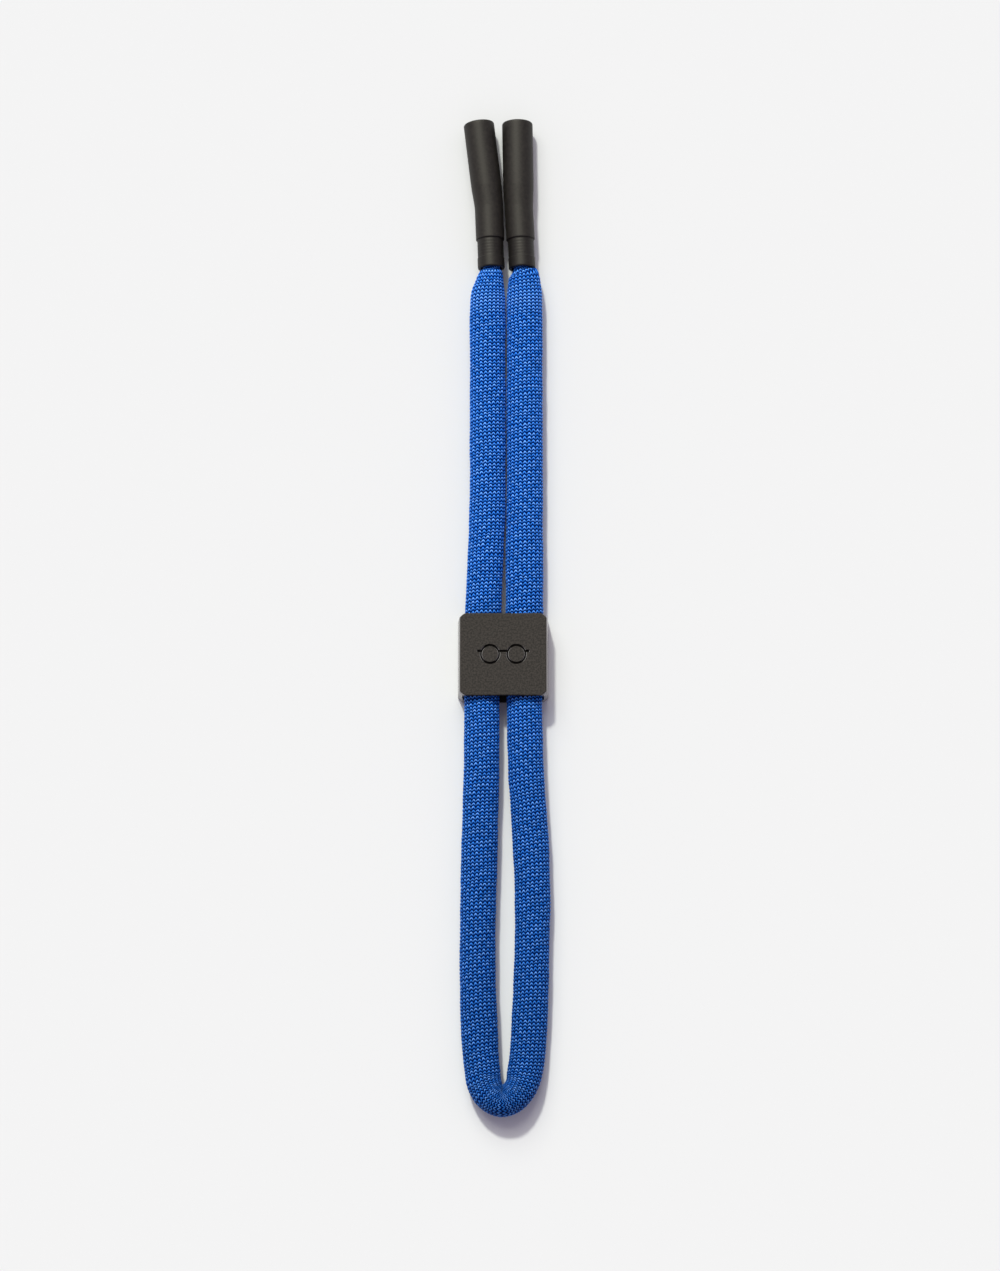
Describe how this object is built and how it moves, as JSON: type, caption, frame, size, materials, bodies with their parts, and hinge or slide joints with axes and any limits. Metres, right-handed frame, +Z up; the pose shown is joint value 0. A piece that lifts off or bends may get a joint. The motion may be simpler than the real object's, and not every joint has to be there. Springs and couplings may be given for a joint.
{
  "type": "eyewear retainer strap",
  "caption": "Knitted eyewear retainer cord folded double, with a sliding adjuster round both legs and a rubber sleeve on each end that grips a temple tip.",
  "frame": {"origin": "centre of the slider's flat underside, with the slider at its rest place on the cord", "axes": "+Y along the cord towards the temple sleeves, +Z up from the surface the strap lies on, +X to the right seen from above"},
  "size_m": [0.0211, 0.2331, 0.0081],
  "materials": {
    "knit": "royal blue weft-knitted polyester, fine V-shaped stitches",
    "filler": "soft white filler, hidden inside the knitted tube",
    "crimp": "plain crimped band, hidden inside the ferrule",
    "ferrule": "matte warm black moulded rubber",
    "rubber": "matte warm black soft rubber with a faint sheen",
    "slider": "satin warm black moulded, top face fine matte"
  },
  "bodies": {
    "strap": {"knit_cord": "knit", "cord_core": "filler"},
    "slider": {"slider": "slider"},
    "left_end": {"left_neck": "knit", "left_crimp": "crimp", "left_ferrule": "ferrule", "left_sleeve": "rubber"},
    "right_end": {"right_neck": "knit", "right_crimp": "crimp", "right_ferrule": "ferrule", "right_sleeve": "rubber"}
  },
  "joints": [
    {"name": "slider_slide", "type": "slide", "parent": "strap", "child": "slider", "axis": [0, 1, 0], "range_m": [-0.012, 0.074]},
    {"name": "left_end_swing", "type": "hinge", "parent": "strap", "child": "left_end", "pos_m": [-0.0032, 0.0885, 0.0036], "axis": [0, 0, 1], "range_deg": [0, 60], "deforming": ["left_neck"]},
    {"name": "right_end_swing", "type": "hinge", "parent": "strap", "child": "right_end", "pos_m": [0.005, 0.0885, 0.0036], "axis": [0, 0, 1], "range_deg": [-60, 0], "deforming": ["right_neck"]}
  ]
}
